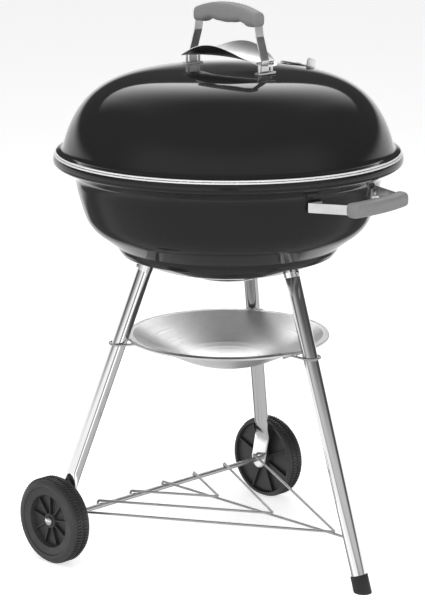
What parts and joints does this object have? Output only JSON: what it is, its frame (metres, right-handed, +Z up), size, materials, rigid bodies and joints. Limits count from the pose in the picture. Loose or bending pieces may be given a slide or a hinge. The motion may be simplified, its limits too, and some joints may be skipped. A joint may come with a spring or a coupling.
{
  "type": "kettle charcoal grill",
  "caption": "Round covered charcoal grill: black enamel kettle with lift-off lid, vents and grates on a tripod stand with ash tray, wire shelf and a pair of wheels",
  "frame": {"origin": "on the ground under the middle of the bounding box, 19.2 mm in front of the kettle's vertical axis", "axes": "+Z up; +X along the axle, towards the lid damper's side; -Y towards the front leg and the bowl handle"},
  "size_m": [0.5856, 0.6241, 0.9464],
  "materials": {
    "enamel": "high-gloss black porcelain enamel",
    "chrome": "bright chromed steel",
    "tray_steel": "satin, spun",
    "aluminium": "plain, lightly brushed",
    "grip_plastic": "matt grey glass-filled nylon",
    "wheel_plastic": "matt black moulded plastic",
    "cap_plastic": "matt black plastic",
    "wire_steel": "plated drawn wire and rod",
    "grate_steel": "plated drawn wire",
    "zinc": "bright zinc plating"
  },
  "bodies": {
    "stand": {"ash_tray": "tray_steel", "axle": "wire_steel", "bowl": "enamel", "bowl_damper_rivet": "zinc", "bowl_handle_bolt_1": "zinc", "bowl_handle_bolt_2": "zinc", "bowl_handle_grip": "grip_plastic", "bowl_handle_nut_1": "zinc", "bowl_handle_nut_2": "zinc", "bowl_handle_strap": "chrome", "foot_cap": "cap_plastic", "grate_support_1": "enamel", "grate_support_2": "enamel", "grate_support_3": "enamel", "hub_cap_left": "zinc", "hub_cap_right": "zinc", "leg_front": "chrome", "leg_left": "chrome", "leg_right": "chrome", "leg_socket_front": "chrome", "leg_socket_left": "chrome", "leg_socket_right": "chrome", "socket_screw_front": "zinc", "socket_screw_left": "zinc", "socket_screw_right": "zinc", "tray_clip_front": "wire_steel", "tray_clip_left": "wire_steel", "tray_clip_right": "wire_steel", "wire_rack": "wire_steel"},
    "lid_body": {"lid": "enamel", "lid_damper_rivet": "zinc", "lid_handle_bolt_1": "zinc", "lid_handle_bolt_2": "zinc", "lid_handle_bolt_3": "zinc", "lid_handle_bolt_4": "zinc", "lid_handle_grip": "grip_plastic", "lid_handle_nut_1": "zinc", "lid_handle_nut_2": "zinc", "lid_handle_nut_3": "zinc", "lid_handle_nut_4": "zinc", "lid_handle_strap": "chrome", "lid_heat_shield": "chrome", "lid_hook": "zinc"},
    "lid_damper_body": {"lid_damper": "aluminium"},
    "bowl_damper_body": {"bowl_damper": "aluminium"},
    "wheel_left_body": {"wheel_left": "wheel_plastic"},
    "wheel_right_body": {"wheel_right": "wheel_plastic"},
    "cooking_grate_body": {"cooking_grate": "grate_steel"},
    "charcoal_grate_body": {"charcoal_grate": "grate_steel"}
  },
  "joints": [
    {"name": "lid_lift", "type": "slide", "parent": "stand", "child": "lid_body", "axis": [0, 0, 1], "range_m": [0, 0.3]},
    {"name": "lid_damper_turn", "type": "hinge", "parent": "lid_body", "child": "lid_damper_body", "pos_m": [0.167, 0.0192, 0.82576], "axis": [0.2554, 0, 0.9668], "range_deg": [0, 60]},
    {"name": "bowl_damper_turn", "type": "hinge", "parent": "stand", "child": "bowl_damper_body", "pos_m": [0, 0.0192, 0.4876], "axis": [0, 0, 1], "range_deg": [0, 60]},
    {"name": "wheel_left_spin", "type": "hinge", "parent": "stand", "child": "wheel_left_body", "pos_m": [-0.26135, 0.1757, 0.0745], "axis": [1, 0, 0], "continuous": true},
    {"name": "wheel_right_spin", "type": "hinge", "parent": "stand", "child": "wheel_right_body", "pos_m": [0.26135, 0.1757, 0.0745], "axis": [1, 0, 0], "continuous": true},
    {"name": "cooking_grate_lift", "type": "slide", "parent": "stand", "child": "cooking_grate_body", "axis": [0, 0, 1], "range_m": [0, 0.06]},
    {"name": "charcoal_grate_lift", "type": "slide", "parent": "stand", "child": "charcoal_grate_body", "axis": [0, 0, 1], "range_m": [0, 0.06]}
  ]
}
